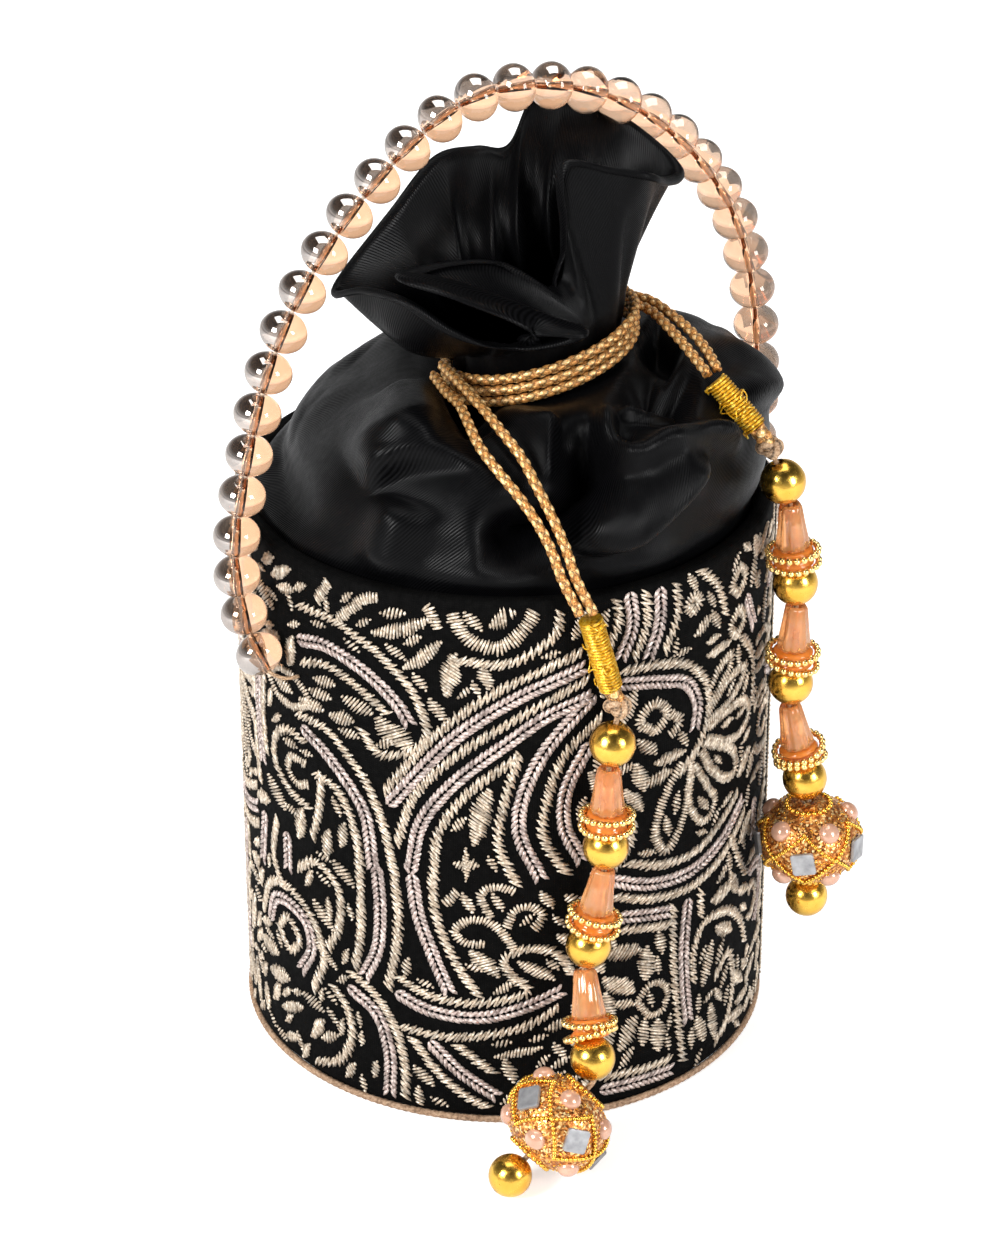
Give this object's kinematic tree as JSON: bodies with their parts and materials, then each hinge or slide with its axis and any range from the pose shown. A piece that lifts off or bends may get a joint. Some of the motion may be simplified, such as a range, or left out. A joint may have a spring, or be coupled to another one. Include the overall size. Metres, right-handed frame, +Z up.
{
  "type": "potli bag",
  "caption": "Round stiff-bodied drawstring pouch in embroidered cloth with a gathered satin top, beaded tassels and a swinging beaded handle.",
  "frame": {"origin": "middle of the underside, on the surface that the bag stands on", "axes": "+Z up through the bag, handle anchored on -X and +X, front tassel towards -Y"},
  "size_m": [0.1388, 0.1422, 0.2191],
  "materials": {
    "grey_board": "stiff board, hidden between cover and lining",
    "zari_embroidery": "black cloth closely worked with silver-gold chain and satin stitch",
    "black_cotton": "plain matt black weave",
    "tan_piping": "matt corded piping",
    "black_satin": "soft twill satin with a broad sheen",
    "copper_cord": "braided metallic thread cord",
    "zari_thread": "tightly wound gold metallic thread",
    "bead_string": "fine twisted string",
    "handle_glass": "clear peach, dark mirror coat on one half",
    "gold_bead": "shiny gold plating",
    "orange_bead": "clear orange with fluted sides",
    "glitter_lac": "copper glitter under gold bead chains",
    "mirror_chip": "small square mirrors set in gold beading",
    "pink_pearl": "soft pearly half beads"
  },
  "bodies": {
    "bag": {"bottom_cover": "black_cotton", "bottom_piping": "tan_piping", "base_board": "grey_board", "wall_board": "grey_board", "lining": "black_cotton", "embroidered_cover": "zari_embroidery", "satin_pouch": "black_satin", "neck_cord": "copper_cord", "front_strand_upper": "copper_cord", "front_strand_lower": "copper_cord", "side_strand_upper": "copper_cord", "side_strand_lower": "copper_cord", "front_tassel_knot": "zari_thread", "front_top_bead": "gold_bead", "front_drop_1": "orange_bead", "front_drop_2": "orange_bead", "front_drop_3": "orange_bead", "front_lac_ball": "glitter_lac", "front_end_bead": "gold_bead", "side_tassel_knot": "zari_thread", "side_top_bead": "gold_bead", "side_drop_1": "orange_bead", "side_drop_2": "orange_bead", "side_drop_3": "orange_bead", "side_lac_ball": "glitter_lac", "side_end_bead": "gold_bead"},
    "handle": {"handle_string": "bead_string", "handle_bead_01": "handle_glass", "handle_bead_02": "handle_glass", "handle_bead_03": "handle_glass", "handle_bead_04": "handle_glass", "handle_bead_05": "handle_glass", "handle_bead_06": "handle_glass", "handle_bead_07": "handle_glass", "handle_bead_08": "handle_glass", "handle_bead_09": "handle_glass", "handle_bead_10": "handle_glass", "handle_bead_11": "handle_glass", "handle_bead_12": "handle_glass", "handle_bead_13": "handle_glass", "handle_bead_14": "handle_glass", "handle_bead_15": "handle_glass", "handle_bead_16": "handle_glass", "handle_bead_17": "handle_glass", "handle_bead_18": "handle_glass", "handle_bead_19": "handle_glass", "handle_bead_20": "handle_glass", "handle_bead_21": "handle_glass", "handle_bead_22": "handle_glass", "handle_bead_23": "handle_glass", "handle_bead_24": "handle_glass", "handle_bead_25": "handle_glass", "handle_bead_26": "handle_glass", "handle_bead_27": "handle_glass", "handle_bead_28": "handle_glass", "handle_bead_29": "handle_glass", "handle_bead_30": "handle_glass", "handle_bead_31": "handle_glass", "handle_bead_32": "handle_glass", "handle_bead_33": "handle_glass"}
  },
  "joints": [
    {"name": "handle_swing", "type": "hinge", "parent": "bag", "child": "handle", "pos_m": [0, -0.0114, 0.0999], "axis": [1, 0, 0], "range_deg": [-120, 135]}
  ]
}
